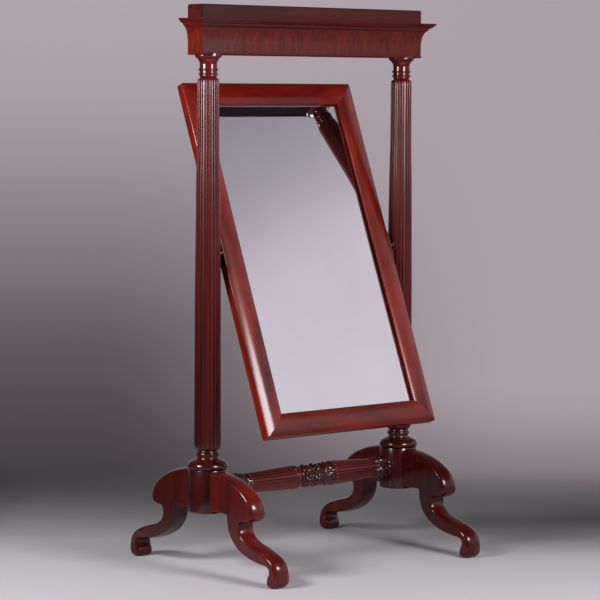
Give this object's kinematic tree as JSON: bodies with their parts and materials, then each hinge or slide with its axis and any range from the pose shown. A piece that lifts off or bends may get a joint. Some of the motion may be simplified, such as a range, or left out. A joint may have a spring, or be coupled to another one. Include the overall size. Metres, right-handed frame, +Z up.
{
  "type": "cheval floor mirror",
  "caption": "Floor mirror in a wooden frame that tilts between turned, reeded posts, under a moulded cornice, on scroll legs joined by a turned stretcher.",
  "frame": {"origin": "on the floor, midway between the axes of the two posts", "axes": "+X along the stretcher to the viewer's right, +Y to the back, +Z up; the glass faces -Y"},
  "size_m": [1.0266, 0.78, 1.85],
  "materials": {
    "mahogany": "French polished, dark red",
    "flame_veneer": "French polished flame figure",
    "carcass_wood": "bare pine",
    "brass": "aged satin",
    "glass": "polished, flat",
    "silvering": "silvered"
  },
  "bodies": {
    "stand": {"top_board": "mahogany", "frieze_core": "carcass_wood", "frieze_front": "flame_veneer", "frieze_back": "flame_veneer", "frieze_end_left": "flame_veneer", "frieze_end_right": "flame_veneer", "bead_front": "mahogany", "bead_left": "mahogany", "bead_right": "mahogany", "cornice_front": "mahogany", "cornice_left": "mahogany", "cornice_right": "mahogany", "post_left": "mahogany", "post_right": "mahogany", "base_ring_left": "mahogany", "base_ring_right": "mahogany", "drum_left": "mahogany", "drum_right": "mahogany", "leg_front_left": "mahogany", "leg_front_right": "mahogany", "leg_rear_left": "mahogany", "leg_rear_right": "mahogany", "leg_dowels": "carcass_wood", "stretcher": "mahogany", "pivot_bush_left": "brass", "pivot_bush_right": "brass"},
    "mirror": {"stile_left": "mahogany", "stile_right": "mahogany", "rail_top": "mahogany", "rail_bottom": "mahogany", "mitre_keys": "carcass_wood", "glass": "glass", "silvering": "silvering", "glass_blocks": "carcass_wood", "backboard_left": "carcass_wood", "backboard_right": "carcass_wood", "back_screws": "brass", "pivot_plate_left": "brass", "pivot_plate_right": "brass", "plate_screws": "brass", "pivot_pin_left": "brass", "pivot_pin_right": "brass"}
  },
  "joints": [
    {"name": "mirror_tilt", "type": "hinge", "parent": "stand", "child": "mirror", "pos_m": [0, 0, 1.0446], "axis": [1, 0, 0], "continuous": true}
  ]
}
